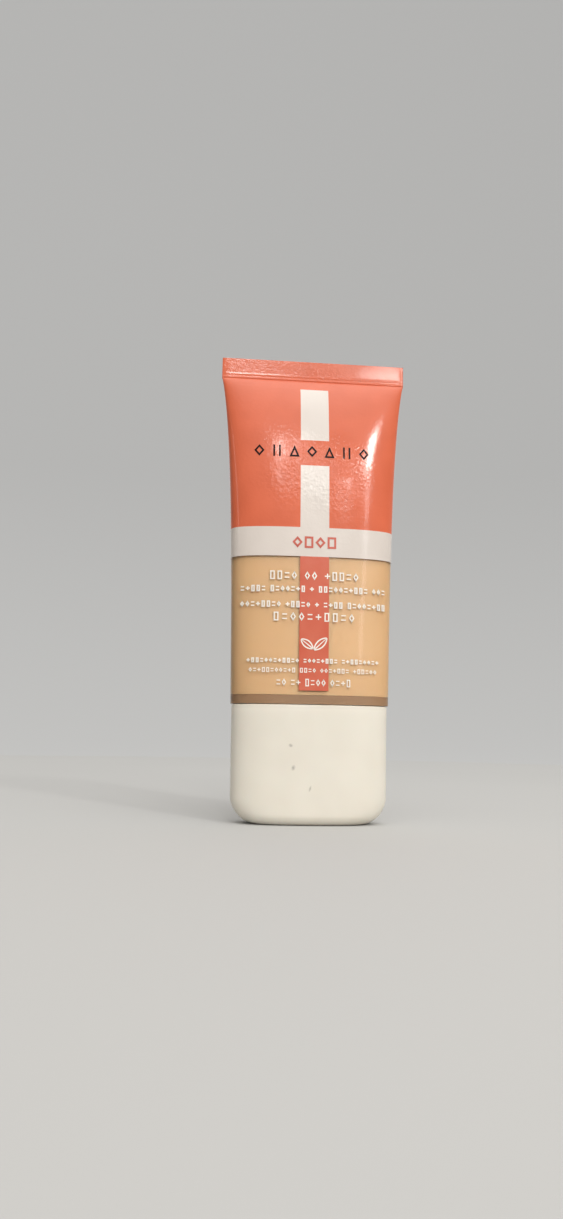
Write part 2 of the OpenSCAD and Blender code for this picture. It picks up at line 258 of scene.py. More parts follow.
def smooth(piece, degrees=35):
    only(piece)
    bpy.ops.object.shade_smooth_by_angle(angle=math.radians(degrees))


def face_outwards(piece):
    """Turns a thin open sheet so that its normals point away from the tube's middle."""
    out = sum(p.normal.dot(Vector((p.center.x, p.center.y, 0))) * p.area for p in piece.data.polygons)
    if out < 0:
        start_edit(piece)
        bpy.ops.mesh.flip_normals()
        end_edit()


def finish_piece(piece, body, slot, material, *nodes):
    piece.data.materials.clear()
    piece.data.materials.append(material)
    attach(piece, body)
    if nodes:
        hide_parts(*nodes)
    return piece


# ---------------------------------------------------------------- material helpers
def new_material(name, color, roughness, **sockets):
    mat = bpy.data.materials.new(name)
    mat.use_nodes = True
    bsdf = mat.node_tree.nodes["Principled BSDF"]
    bsdf.inputs["Base Color"].default_value = (*color, 1)
    bsdf.inputs["Roughness"].default_value = roughness
    for key, value in sockets.items():
        bsdf.inputs[key.replace("_", " ")].default_value = value
    return mat, mat.node_tree, bsdf


def add(tree, kind, **settings):
    node = tree.nodes.new(kind)
    for key, value in settings.items():
        setattr(node, key, value)
    return node


def make_group(name, inputs, outputs):
    group = bpy.data.node_groups.new(name, "ShaderNodeTree")
    for label, kind, value in inputs:
        socket = group.interface.new_socket(name=label, in_out="INPUT", socket_type=kind)
        if value is not None:
            socket.default_value = value
    for label, kind in outputs:
        group.interface.new_socket(name=label, in_out="OUTPUT", socket_type=kind)
    start = add(group, "NodeGroupInput")
    end = add(group, "NodeGroupOutput")
    return group, start, end


def noise(tree, vector, scale, detail=2.0, rough=0.5):
    node = add(tree, "ShaderNodeTexNoise")
    node.inputs["Scale"].default_value = scale
    node.inputs["Detail"].default_value = detail
    node.inputs["Roughness"].default_value = rough
    tree.links.new(vector, node.inputs["Vector"])
    return node.outputs["Fac"]


def ramp(tree, value, low, high, to_low=0.0, to_high=1.0, soft=False):
    node = add(tree, "ShaderNodeMapRange", interpolation_type="SMOOTHSTEP" if soft else "LINEAR")
    for key, number in (("From Min", low), ("From Max", high), ("To Min", to_low), ("To Max", to_high)):
        node.inputs[key].default_value = number
    tree.links.new(value, node.inputs["Value"])
    return node.outputs["Result"]


def math_node(tree, operation, a, b):
    node = add(tree, "ShaderNodeMath", operation=operation)
    for socket, value in zip(node.inputs, (a, b)):
        if isinstance(value, (int, float)):
            socket.default_value = value
        else:
            tree.links.new(value, socket)
    return node.outputs[0]


def mix_color(tree, factor, a, b):
    node = add(tree, "ShaderNodeMix", data_type="RGBA")
    for socket, value in ((node.inputs[0], factor), (node.inputs[6], a), (node.inputs[7], b)):
        if isinstance(value, (int, float)):
            socket.default_value = value
        elif isinstance(value, tuple):
            socket.default_value = (*value, 1)
        else:
            tree.links.new(value, socket)
    return node.outputs[2]


def bump(tree, bsdf, height, distance, strength=1.0):
    node = add(tree, "ShaderNodeBump")
    node.inputs["Distance"].default_value = distance
    node.inputs["Strength"].default_value = strength
    tree.links.new(height, node.inputs["Height"])
    tree.links.new(node.outputs["Normal"], bsdf.inputs["Normal"])
    return node


def make_grain():
    """Grain of a moulded or printed skin: fine grain over slow waves."""
    group, start, end = make_group(
        "surface_grain",
        [("Vector", "NodeSocketVector", None), ("Grain Scale", "NodeSocketFloat", 2500.0),
         ("Wave Scale", "NodeSocketFloat", 180.0), ("Grain Share", "NodeSocketFloat", 0.5)],
        [("Height", "NodeSocketFloat"), ("Mottle", "NodeSocketFloat")],
    )
    fine = add(group, "ShaderNodeTexNoise")
    fine.inputs["Detail"].default_value = 3.0
    wave = add(group, "ShaderNodeTexNoise")
    wave.inputs["Detail"].default_value = 1.0
    for node, label in ((fine, "Grain Scale"), (wave, "Wave Scale")):
        group.links.new(start.outputs["Vector"], node.inputs["Vector"])
        group.links.new(start.outputs[label], node.inputs["Scale"])
    share = math_node(group, "MULTIPLY", fine.outputs["Fac"], start.outputs["Grain Share"])
    rest = math_node(group, "SUBTRACT", 1.0, start.outputs["Grain Share"])
    slow = math_node(group, "MULTIPLY", wave.outputs["Fac"], rest)
    group.links.new(math_node(group, "ADD", share, slow), end.inputs["Height"])
    group.links.new(wave.outputs["Fac"], end.inputs["Mottle"])
    return group


def make_smudges():
    """Smudges left by hands: soft patches that change the gloss."""
    group, start, end = make_group(
        "hand_smudges",
        [("Vector", "NodeSocketVector", None), ("Patch Scale", "NodeSocketFloat", 70.0)],
        [("Mask", "NodeSocketFloat")],
    )
    patch = add(group, "ShaderNodeTexNoise")
    patch.inputs["Detail"].default_value = 3.0
    patch.inputs["Distortion"].default_value = 0.3
    group.links.new(start.outputs["Vector"], patch.inputs["Vector"])
    group.links.new(start.outputs["Patch Scale"], patch.inputs["Scale"])
    group.links.new(ramp(group, patch.outputs["Fac"], 0.35, 0.75, soft=True), end.inputs["Mask"])
    return group


GRAIN = make_grain()
SMUDGE = make_smudges()


def object_vector(tree):
    return add(tree, "ShaderNodeTexCoord").outputs["Object"]


def place_group(tree, group, vector, **values):
    node = add(tree, "ShaderNodeGroup", node_tree=group)
    tree.links.new(vector, node.inputs["Vector"])
    for key, value in values.items():
        node.inputs[key.replace("_", " ")].default_value = value
    return node


def height_of(tree, vector):
    split = add(tree, "ShaderNodeSeparateXYZ")
    tree.links.new(vector, split.inputs[0])
    return split.outputs["Z"]


# ---------------------------------------------------------------- materials
def rubbed_patch(tree, vector):
    """Mask of the front's middle, where fingers have rubbed the gloss off and left the skin's grain."""
    middle = Vector((1.0, -8.0, 87.0)) * MM
    scale = Vector((1 / (19 * MM), 1 / (22 * MM), 1 / (17 * MM)))
    centred = add(tree, "ShaderNodeMapping", vector_type="POINT")
    centred.inputs["Location"].default_value = -middle * scale
    centred.inputs["Scale"].default_value = scale
    tree.links.new(vector, centred.inputs["Vector"])
    away = add(tree, "ShaderNodeVectorMath", operation="LENGTH")
    tree.links.new(centred.outputs["Vector"], away.inputs[0])
    ragged = math_node(tree, "MULTIPLY", noise(tree, vector, 260.0, 3.0, 0.6), 0.6)
    return ramp(tree, math_node(tree, "ADD", away.outputs["Value"], ragged), 1.15, 0.65, soft=True)


def printed_skin(name, light, deep, roughness, grain, specular=0.5, coat=0.35, crimped=False):
    """Ink on soft polyethylene: a glossy film whose fine grain sparkles in the highlights."""
    mat, tree, bsdf = new_material(
        name, light, roughness, Specular_IOR_Level=specular, Coat_Weight=coat, Coat_Roughness=0.09)
    vector = object_vector(tree)
    skin = place_group(tree, GRAIN, vector, Grain_Scale=1200.0, Wave_Scale=160.0, Grain_Share=0.7)
    smudge = place_group(tree, SMUDGE, vector)
    tone = mix_color(tree, ramp(tree, skin.outputs["Mottle"], 0.3, 0.7), light, deep)
    tree.links.new(tone, bsdf.inputs["Base Color"])
    gloss = ramp(tree, smudge.outputs["Mask"], 0, 1, roughness - 0.02, roughness + 0.05)
    tree.links.new(gloss, bsdf.inputs["Roughness"])
    height = skin.outputs["Height"]
    if coat:
        raised = 3.0
        rubbed = rubbed_patch(tree, vector)
        tree.links.new(ramp(tree, rubbed, 0, 1, coat, 0.0), bsdf.inputs["Coat Weight"])
        height = math_node(tree, "MULTIPLY", height, ramp(tree, rubbed, 0, 1, 1.0, raised))
    if crimped:
        z = height_of(tree, vector)
        sealed = ramp(tree, z, CRIMP_LOW + 0.2 * MM, CRIMP_LOW + 0.8 * MM)
        off_ridge = math_node(tree, "ABSOLUTE", math_node(tree, "SUBTRACT", z, CRIMP_LOW + RIDGE_UP), 0)
        ridge = ramp(tree, off_ridge, 0.0, 0.5 * MM, 1.0, 0.0)
        pressed = math_node(tree, "MULTIPLY", sealed, 0.6)
        beaded = math_node(tree, "MULTIPLY", ridge, 3.0)
        amount = math_node(tree, "ADD", pressed, beaded)
        rough = math_node(tree, "MULTIPLY", noise(tree, vector, 1200.0, 3.0, 0.6), amount)
        height = math_node(tree, "ADD", height, rough)
    bump(tree, bsdf, height, grain)
    return mat


CORAL = printed_skin(
    "coral_ink", (0.765, 0.168, 0.083), (0.715, 0.154, 0.075), 0.13, 0.05 * MM, 0.22, crimped=True)
WHITE = printed_skin("white_ink", (0.78, 0.70, 0.64), (0.75, 0.67, 0.61), 0.16, 0.03 * MM)
STRIPE = printed_skin("stripe_ink", (0.70, 0.175, 0.105), (0.66, 0.130, 0.075), 0.2, 0.04 * MM)
BAND_CORAL = printed_skin("band_mark_ink", (0.62, 0.12, 0.075), (0.57, 0.105, 0.065), 0.25, 0.01 * MM)
DARK = printed_skin("dark_ink", (0.007, 0.004, 0.004), (0.011, 0.007, 0.006), 0.35, 0.008 * MM, 0.1, 0.0)
MARK_WHITE = printed_skin("mark_white_ink", (0.97, 0.92, 0.85), (0.92, 0.87, 0.79), 0.4, 0.008 * MM, 0.5, 0.0)


def clear_wall_material():
    mat, tree, bsdf = new_material(
        "clear_polyethylene", (0.97, 0.955, 0.93), 0.07, IOR=1.5, Transmission_Weight=1.0)
    vector = object_vector(tree)
    skin = place_group(tree, GRAIN, vector, Grain_Scale=900.0, Wave_Scale=110.0, Grain_Share=0.25)
    smudge = place_group(tree, SMUDGE, vector, Patch_Scale=55.0)
    tree.links.new(ramp(tree, smudge.outputs["Mask"], 0, 1, 0.05, 0.16), bsdf.inputs["Roughness"])
    tone = mix_color(tree, skin.outputs["Mottle"], (0.98, 0.965, 0.94), (0.95, 0.93, 0.90))
    tree.links.new(tone, bsdf.inputs["Base Color"])
    bump(tree, bsdf, skin.outputs["Height"], 0.006 * MM)
    return mat


def cream_material():
    mat, tree, bsdf = new_material(
        "liquid_foundation", (0.68, 0.45, 0.242), 0.42, Subsurface_Weight=0.08, Subsurface_Scale=0.002)
    vector = object_vector(tree)
    stretch = add(tree, "ShaderNodeMapping")
    stretch.inputs["Scale"].default_value = (1.0, 1.0, 0.35)
    tree.links.new(vector, stretch.inputs["Vector"])
    drawn = stretch.outputs["Vector"]
    skin = place_group(tree, GRAIN, drawn, Grain_Scale=600.0, Wave_Scale=90.0, Grain_Share=0.15)
    light, deep = (0.695, 0.460, 0.250), (0.660, 0.432, 0.230)
    tone = mix_color(tree, ramp(tree, skin.outputs["Mottle"], 0.3, 0.7), light, deep)
    tree.links.new(tone, bsdf.inputs["Base Color"])
    tree.links.new(ramp(tree, skin.outputs["Mottle"], 0.3, 0.7, 0.38, 0.5), bsdf.inputs["Roughness"])
    bump(tree, bsdf, skin.outputs["Height"], 0.02 * MM)
    return mat


def moulded(name, light, deep, roughness, grain, coat=0.0, subsurface=0.0):
    """Injection-moulded plastic: slow colour drift, satin grain and smudges."""
    mat, tree, bsdf = new_material(
        name, light, roughness, Coat_Weight=coat, Coat_Roughness=0.25,
        Subsurface_Weight=subsurface, Subsurface_Scale=0.0015)
    vector = object_vector(tree)
    skin = place_group(tree, GRAIN, vector, Grain_Scale=3200.0, Wave_Scale=120.0, Grain_Share=0.7)
    smudge = place_group(tree, SMUDGE, vector, Patch_Scale=60.0)
    tone = mix_color(tree, ramp(tree, skin.outputs["Mottle"], 0.3, 0.7), light, deep)
    tree.links.new(tone, bsdf.inputs["Base Color"])
    gloss = ramp(tree, smudge.outputs["Mask"], 0, 1, roughness - 0.04, roughness + 0.07)
    tree.links.new(gloss, bsdf.inputs["Roughness"])
    bump(tree, bsdf, skin.outputs["Height"], grain)
    return mat, tree, bsdf, tone


def head_material():
    """Milky polyethylene: the thin skirt is a darker brown than the filling, and the thick neck stays paler.
    """
    skirt, deep, neck = (0.350, 0.215, 0.120), (0.320, 0.190, 0.103), (0.640, 0.530, 0.410)
    mat, tree, bsdf, tone = moulded("natural_plastic", skirt, deep, 0.36, 0.006 * MM, coat=0.2)
    z = height_of(tree, object_vector(tree))
    thick = ramp(tree, z, TUBE_FOOT - 1.2 * MM, TUBE_FOOT - 0.2 * MM, 1.0, 0.0)
    tree.links.new(mix_color(tree, thick, tone, neck), bsdf.inputs["Base Color"])
    return mat


def scuffed_cap_material():
    """Satin white plastic with a few small grey scuffs, and painted shade, broken up by noise, that darkens
    it towards the rim.
    """
    light, deep, grey = (0.85, 0.80, 0.70), (0.82, 0.765, 0.665), (0.30, 0.27, 0.23)
    # middle and half lengths of each scuff, along x and z, in millimetres
    scuffs = ((-5.2, 18.6, 0.55, 0.45), (-4.5, 13.4, 0.5, 0.75), (-0.5, 8.6, 0.28, 0.8))
    mat, tree, bsdf, tone = moulded("cap_plastic", light, deep, 0.44, 0.010 * MM, coat=0.15, subsurface=0.05)
    vector = object_vector(tree)
    marks = None
    for x, z, long_x, long_z in scuffs:
        centre = add(tree, "ShaderNodeMapping", vector_type="TEXTURE")
        centre.inputs["Location"].default_value = (x * MM, -CAP_HIGH.y, z * MM)
        centre.inputs["Rotation"].default_value = (0, math.radians(18), 0)
        centre.inputs["Scale"].default_value = (long_x * MM, 2 * MM, long_z * MM)
        tree.links.new(vector, centre.inputs["Vector"])
        length = add(tree, "ShaderNodeVectorMath", operation="LENGTH")
        tree.links.new(centre.outputs["Vector"], length.inputs[0])
        spot = ramp(tree, length.outputs["Value"], 0.3, 1.1, 0.75, 0.0)
        marks = spot if marks is None else math_node(tree, "MAXIMUM", marks, spot)
    broken = ramp(tree, noise(tree, vector, 2200.0, 3.0, 0.7), 0.3, 0.7, 0.3, 1.0)
    scuff = math_node(tree, "MULTIPLY", marks, broken)
    # painted shade: the top 1.2 mm of the cap turns greyer towards the rim, where the tube's shoulder
    # overhangs it, broken up with noise
    rim = ramp(tree, height_of(tree, vector), CAP_TOP - 1.2 * MM, CAP_TOP, 0.0, 0.22)
    rim_shade = math_node(tree, "MULTIPLY", rim, noise(tree, vector, 240.0, 4.0, 0.7))
    scuffed_and_shaded = mix_color(tree, math_node(tree, "MAXIMUM", scuff, rim_shade), tone, grey)
    tree.links.new(scuffed_and_shaded, bsdf.inputs["Base Color"])
    return mat


CLEAR = clear_wall_material()
CREAM = cream_material()
CAP_WHITE = scuffed_cap_material()
LINER = moulded("liner_plastic", (0.84, 0.81, 0.75), (0.80, 0.77, 0.71), 0.5, 0.008 * MM, subsurface=0.05)[0]
NATURAL = head_material()
NOZZLE = moulded("nozzle_plastic", (0.74, 0.68, 0.60), (0.69, 0.62, 0.53), 0.38, 0.006 * MM, coat=0.2)[0]
SEALED = moulded("sealed_plastic", (0.80, 0.36, 0.26), (0.74, 0.31, 0.22), 0.4, 0.006 * MM)[0]
FOAM = moulded("seal_foam", (0.86, 0.84, 0.80), (0.78, 0.75, 0.70), 0.8, 0.05 * MM)[0]

INNER = (("cap_liner", LINER), ("seal_wad", FOAM), ("nozzle_insert", NOZZLE), ("tube_head", NATURAL))
for node, material in INNER:
    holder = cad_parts[node]
    holder.data.materials.clear()
    holder.data.materials.append(material)


# ---------------------------------------------------------------- the clear tube and its filling
def outside_sheet(name, rows):
    """A sheet all round the tube, on the outside of its wall."""
    return grid_sheet(name, columns(-2 * SIDE, 2 * SIDE), rows, lambda c, z: wall_at(c, z, 0.0))


def make_sleeve():
    sleeve = outside_sheet("clear_tube", WALL_ROWS)
    weld(sleeve)
    face_outwards(sleeve)
    thicken(sleeve, WALL)
    smooth(sleeve)
    sleeve.visible_shadow = False
    return finish_piece(sleeve, "tube", "clear_plastic", CLEAR, "tube_sleeve")


def make_cream():
    rows = [CREAM_LOW.z] + [z for z in WALL_ROWS if CREAM_LOW.z + 0.5 * MM < z < CREAM_HIGH.z]
    cream = outside_sheet("foundation_filling", rows)
    weld(cream)
    face_outwards(cream)
    sink(cream, WALL - WETTING)
    close_ends(cream)
    smooth(cream)
    return finish_piece(cream, "tube", "cream", CREAM, "foundation_cream")


def make_weld():
    """Ring of the head's own plastic, fused to the inside of the wall, so that no air shows between them."""
    rows = [SHOULDER + (HEAD_HIGH.z - SHOULDER) * i / 6 for i in range(7)]
    weld_ring = outside_sheet("head_weld", rows)
    weld(weld_ring)
    face_outwards(weld_ring)
    sink(weld_ring, WALL - WETTING)
    thicken(weld_ring, 0.35 * MM)
    smooth(weld_ring)
    return finish_piece(weld_ring, "tube", "natural_plastic", NATURAL)


def make_seal():
    """The core of the crimp, where the two walls have melted into one and turned milky with ink."""
    half, deep = CRIMP_W / 2 - 0.3 * MM, 0.33 * MM
    low, high = CRIMP_LOW + 1.5 * MM, TUBE_TOP - 0.04 * MM
    deselect()
    bpy.ops.mesh.primitive_cube_add(size=1)
    seal = bpy.context.object
    seal.name = seal.data.name = "crimp_seal"
    for v in seal.data.vertices:
        v.co = Vector((2 * half * v.co.x, 2 * deep * v.co.y, (low + high) / 2 + (high - low) * v.co.z))
    start_edit(seal)
    bpy.ops.mesh.bevel(offset=0.12 * MM, segments=2)
    end_edit()
    smooth(seal)
    return finish_piece(seal, "tube", "natural_plastic", SEALED)


def film_sheet(name, start, end, rows):
    return grid_sheet(name, columns(start, end), rows, lambda c, z: wall_at(c, z, INK_GAP + INK))


def make_film(name, sheets, slot, material, node):
    film = join(name, sheets)
    weld(film)
    face_outwards(film)
    thicken(film, INK)
    smooth(film)
    return finish_piece(film, "tube", slot, material, node)


def rows_between(low, high):
    tiny = 0.001 * MM
    return [z for z in BAND_ROWS + PRINT_ROWS if low - tiny <= z <= high + tiny]


make_sleeve()
make_cream()
make_weld()
make_seal()
make_film("coral_film", [
    film_sheet("sides", STRIPE_COLS, ROUND - STRIPE_COLS, PRINT_ROWS),
    film_sheet("gap", -STRIPE_COLS, STRIPE_COLS, rows_between(GAP_LOW, GAP_HIGH)),
    film_sheet("top", -STRIPE_COLS, STRIPE_COLS, rows_between(STRIPE_TOP, TUBE_TOP)),
], "coral_ink", CORAL, "coral_print")
make_film("white_film", [
    film_sheet("band", -2 * SIDE, 2 * SIDE, rows_between(BAND_LOW, BAND_HIGH)),
    film_sheet("low_stripe", -STRIPE_COLS, STRIPE_COLS, rows_between(BAND_HIGH, GAP_LOW)),
    film_sheet("high_stripe", -STRIPE_COLS, STRIPE_COLS, rows_between(GAP_HIGH, STRIPE_TOP)),
], "white_ink", WHITE, "white_print")
make_film("lower_stripe_film", [
    film_sheet("stripe", -STRIPE_COLS, STRIPE_COLS, CLEAR_ROWS + [BAND_LOW]),
], "stripe_ink", STRIPE, "lower_stripe_print")


# ---------------------------------------------------------------- the cap's shell
CAP_HALF_W = CAP_HIGH.x
CAP_HALF_D = CAP_HIGH.y
CAP_DRAFT = 0.2 * MM
END_ROUND_X, END_ROUND_Y = 6.5 * MM, 2.5 * MM   # corner at the foot, along the wide and the narrow side
SHELL = 1.3 * MM
RIM_ROUND = 0.35 * MM
RIM_BREAK = 0.2 * MM                    # inner edge of the rim
CAP_COLS = 192


def corner(z, radius):
    """How far a rounded corner has pulled in at height z."""
    return 0.0 if z >= radius else radius - math.sqrt(radius * radius - (radius - z) ** 2)


def cap_profile():
    """Rows of (height, inset, share of the oval), from the middle of the foot over the rim and inside."""
    straight = CAP_TOP - RIM_ROUND
    rows = [(0.0, 0.0, share) for share in (0.0, 0.25, 0.5, 0.75, 0.9)]
    rows += [(END_ROUND_X * (1 - math.cos(math.radians(a))), 0.0, 1.0) for a in range(0, 91, 6)]
    rows += [(END_ROUND_X + (straight - END_ROUND_X) * i / 8, 0.0, 1.0) for i in range(1, 9)]
    for a in (22, 45, 68, 90):
        t = math.radians(a)
        rows.append((straight + RIM_ROUND * math.sin(t), RIM_ROUND * (1 - math.cos(t)), 1.0))
    rows += [(CAP_TOP, SHELL - RIM_BREAK, 1.0), (CAP_TOP - RIM_BREAK, SHELL, 1.0)]
    rows += [(CAP_TOP - 2 * MM, SHELL, 1.0), (CAP_TOP / 2, SHELL, 1.0)]
    floor_round = END_ROUND_X - SHELL
    rows += [(SHELL + floor_round * (1 - math.cos(math.radians(a))), SHELL, 1.0) for a in (90, 60, 30, 0)]
    rows += [(SHELL, SHELL, share) for share in (0.5, 0.0)]
    return rows


def cap_at(angle, row):
    z, inset, share = row
    draft = CAP_DRAFT * (1 - z / CAP_TOP)
    inner = inset >= SHELL
    above = z - SHELL if inner else z
    a = CAP_HALF_W - draft - inset - corner(above, END_ROUND_X - (SHELL if inner else 0))
    b = CAP_HALF_D - draft - inset - corner(above, END_ROUND_Y - (SHELL if inner else 0))
    c, s = math.cos(angle), math.sin(angle)
    x = a * share * math.copysign(abs(c) ** (2 / BELL), c)
    y = b * share * math.copysign(abs(s) ** (2 / BELL), s)
    return Vector((x, y, z))


def make_cap():
    angles = [math.radians(360 * i / CAP_COLS) for i in range(CAP_COLS + 1)]
    cap = grid_sheet("cap_outer_shell", angles, cap_profile(), cap_at)
    weld(cap)
    smooth(cap, 40)
    return finish_piece(cap, "cap", "cap_plastic", CAP_WHITE, "cap_shell")


make_cap()


# ---------------------------------------------------------------- printed marks
def outline_mark(sides, width, height, stroke, turn=0.0):
    """Flat outline of a regular shape; turn is the angle of its first corner, in degrees."""
    parts = 4                               # edges along each side, so that a mark can follow the wall
    deselect()
    bpy.ops.mesh.primitive_circle_add(vertices=sides * parts, radius=1.0, fill_type="NGON")
    piece = bpy.context.object
    corners = [math.radians(90 + turn + 360 * k / sides) for k in range(sides)]
    points = [Vector((math.cos(a), math.sin(a), 0)) for a in corners]
    low = [min(p[axis] for p in points) for axis in (0, 1)]
    high = [max(p[axis] for p in points) for axis in (0, 1)]
    for i, v in enumerate(piece.data.vertices):
        k, part = divmod(i, parts)
        p = points[k].lerp(points[(k + 1) % sides], part / parts)
        x = ((p.x - low[0]) / (high[0] - low[0]) - 0.5) * width
        y = ((p.y - low[1]) / (high[1] - low[1]) - 0.5) * height
        v.co = Vector((x, y, 0))
    start_edit(piece)
    bpy.ops.mesh.inset(thickness=stroke, depth=0, use_even_offset=True)
    bpy.ops.mesh.delete(type="FACE")
    end_edit()
    return piece


def bar_mark(width, height, x=0.0, y=0.0):
    deselect()
    nx = max(1, round(width / (0.5 * MM)))
    ny = max(1, round(height / (0.5 * MM)))
    bpy.ops.mesh.primitive_grid_add(x_subdivisions=nx, y_subdivisions=ny, size=1)
    piece = bpy.context.object
    for v in piece.data.vertices:
        v.co = Vector((x + v.co.x * width, y + v.co.y * height, 0))
    return piece


def cross_mark(size, stroke):
    arm = (size - stroke) / 2
    pieces = [bar_mark(size, stroke)]
    for side in (-1, 1):
        stub = bar_mark(stroke, arm)
        for v in stub.data.vertices:
            v.co.y += side * (stroke + arm) / 2
        pieces.append(stub)
    return join("cross", pieces)


def mark_set(width, height, stroke):
    """The plain shapes that stand in for wording."""
    narrow = width * 0.85
    return {
        "lozenge": outline_mark(4, width, height, stroke),
        "square": outline_mark(4, narrow, height, stroke, 45),
        "triangle": outline_mark(3, width, height, stroke),
        "bars": join("bars", [bar_mark(stroke, height, x=side * width * 0.28) for side in (-1, 1)]),
        "dashes": join("dashes", [bar_mark(narrow, stroke, y=side * height * 0.25) for side in (-1, 1)]),
        "cross": cross_mark(min(width, height), stroke),
    }


def drop(templates):
    for t in templates:
        bpy.data.objects.remove(t)


def stamp(template, x, z, back=False):
    """A copy of a flat mark, laid over the printing with its middle at x and z."""
    lift = INK_GAP + 2 * INK + 0.01 * MM
    mark = template.copy()
    mark.data = template.data.copy()
    bpy.context.scene.collection.objects.link(mark)
    for v in mark.data.vertices:
        up = z + v.co.y
        c = column_of(x + v.co.x, up)
        v.co = wall_at(2 * SIDE + c if back else c, up, lift)
    return mark


def make_marks(name, stamps, slot, material, node):
    marks = join(name, stamps)
    face_outwards(marks)
    thicken(marks, INK)
    smooth(marks)
    return finish_piece(marks, "tube", slot, material, node)


def mark_row(shapes, groups, pitch, space, z, x=0.0, back=False):
    """Groups of marks with a wider space between groups, centred on x."""
    total = sum(len(g) for g in groups) * pitch + (len(groups) - 1) * space
    at = x - total / 2 + pitch / 2
    stamps = []
    for group in groups:
        for shape in group:
            stamps.append(stamp(shapes[shape], at, z, back))
            at += pitch
        at += space
    return stamps


CYCLE = ("square", "dashes", "lozenge", "square", "cross", "lozenge", "dashes")


def shapes_for(count, start):
    return [CYCLE[(start + 3 * k) % len(CYCLE)] for k in range(count)]


def groups_for(counts, start):
    """Lists of shapes for groups of these sizes; a group of none is a single cross."""
    return [shapes_for(n, start + 2 * k) if n else ["cross"] for k, n in enumerate(counts)]


def make_title_row():
    pitch, middle_z, middle_x = 4.35 * MM, 91.1 * MM, -0.75 * MM
    shapes = mark_set(2.5 * MM, 3.0 * MM, 0.42 * MM)
    order = ["lozenge", "bars", "triangle", "lozenge", "triangle", "bars", "lozenge"]
    stamps = mark_row(shapes, [order], pitch, 0, middle_z, middle_x)
    drop(shapes.values())
    make_marks("title_row", stamps, "dark_ink", DARK, "title_marks")


def make_band_row():
    pitch, middle_z = 2.8 * MM, 67.65 * MM
    shapes = mark_set(2.5 * MM, 2.9 * MM, 0.5 * MM)
    stamps = mark_row(shapes, [["lozenge", "square", "lozenge", "square"]], pitch, 0, middle_z)
    drop(shapes.values())
    make_marks("band_row", stamps, "coral_ink", BAND_CORAL, "band_marks")


def make_line_rows():
    """Seven rows: two light ones, two bold ones and three small ones under the leaf."""
    rows = (
        # width, height, stroke, pitch, space, height of the row's middle, marks in each group
        (1.30, 2.15, 0.30, 1.75, 1.4, 59.3, (4, 2, 5)),
        (0.95, 1.60, 0.31, 1.24, 0.85, 56.0, (5, 7, 0, 10, 3)),
        (0.95, 1.60, 0.31, 1.24, 0.85, 52.2, (8, 5, 0, 4, 8)),
        (1.35, 2.15, 0.30, 2.03, 0.0, 49.2, (10,)),
        (0.80, 1.20, 0.27, 1.05, 0.8, 38.6, (12, 8, 9)),
        (0.80, 1.15, 0.20, 1.02, 0.8, 36.3, (11, 4, 7, 6)),
        (1.00, 1.80, 0.24, 1.30, 0.8, 33.4, (2, 2, 4, 4)),
    )
    stamps = []
    for k, (width, height, stroke, pitch, space, z, counts) in enumerate(rows):
        shapes = mark_set(width * MM, height * MM, stroke * MM)
        groups = groups_for(counts, k)
        stamps += mark_row(shapes, groups, pitch * MM, space * MM, z * MM)
        drop(shapes.values())
    make_marks("line_rows", stamps, "white_ink", MARK_WHITE, "line_marks")


def leaf_blade(length, width, stroke, lean, x, z):
    """Pointed outline of a leaf with its midrib, growing from its stem at x and z."""
    pieces = []
    for side in (-1, 0, 1):
        blade = bar_mark(stroke, length)
        start_edit(blade)
        bpy.ops.mesh.subdivide(number_cuts=2)
        end_edit()
        for v in blade.data.vertices:
            t = v.co.y / length + 0.5
            narrow = 1.0 - 0.55 * t if side == 0 else 1.0
            bow = side * width / 2 * max(math.sin(math.pi * t), 0.0) ** 0.8
            v.co = Vector((v.co.x * narrow + bow, t * length, 0))
        pieces.append(blade)
    leaf = join("leaf_blade", pieces)
    c, s = math.cos(math.radians(lean)), math.sin(math.radians(lean))
    for v in leaf.data.vertices:
        v.co = Vector((x + c * v.co.x + s * v.co.y, z - s * v.co.x + c * v.co.y, 0))
    return leaf


def make_leaf():
    stroke = 0.32 * MM
    blades = [
        leaf_blade(4.3 * MM, 1.7 * MM, stroke, 46, 0.0 * MM, -1.8 * MM),
        leaf_blade(3.7 * MM, 1.6 * MM, stroke, -52, -0.2 * MM, -1.5 * MM),
    ]
    stamps = [stamp(b, 0, 43.0 * MM) for b in blades]
    drop(blades)
    make_marks("leaf_sprig", stamps, "white_ink", MARK_WHITE, "leaf_mark")


def make_back_rows():
    """Six plain rows in the coral of the back."""
    pitch, space = 1.12 * MM, 0.9 * MM
    shapes = mark_set(0.85 * MM, 1.2 * MM, 0.24 * MM)
    stamps = []
    for k, counts in enumerate(((5, 8, 6), (9, 4, 7), (6, 6, 8), (4, 9, 5), (8, 5, 6), (7, 5))):
        middle_z = (95 - 3.2 * k) * MM
        stamps += mark_row(shapes, groups_for(counts, k), pitch, space, middle_z, back=True)
    drop(shapes.values())
    make_marks("back_rows", stamps, "white_ink", MARK_WHITE, "back_marks")


make_title_row()
make_band_row()
make_line_rows()
make_leaf()
make_back_rows()


# ---------------------------------------------------------------- stage, lights and camera
def glowing_paint():
    """Wall paint that keeps the wall as pale as the floor, although the wall lets the light through."""
    mat, tree, bsdf = new_material("studio_wall_paint", (0.12, 0.12, 0.118), 0.9, Emission_Strength=0.38)
    skin = place_group(tree, GRAIN, object_vector(tree), Grain_Scale=40.0, Wave_Scale=2.0, Grain_Share=0.1)
    tone = mix_color(tree, skin.outputs["Mottle"], (0.99, 0.985, 0.97), (1.0, 0.995, 0.98))
    tree.links.new(tone, bsdf.inputs["Emission Color"])
    return mat


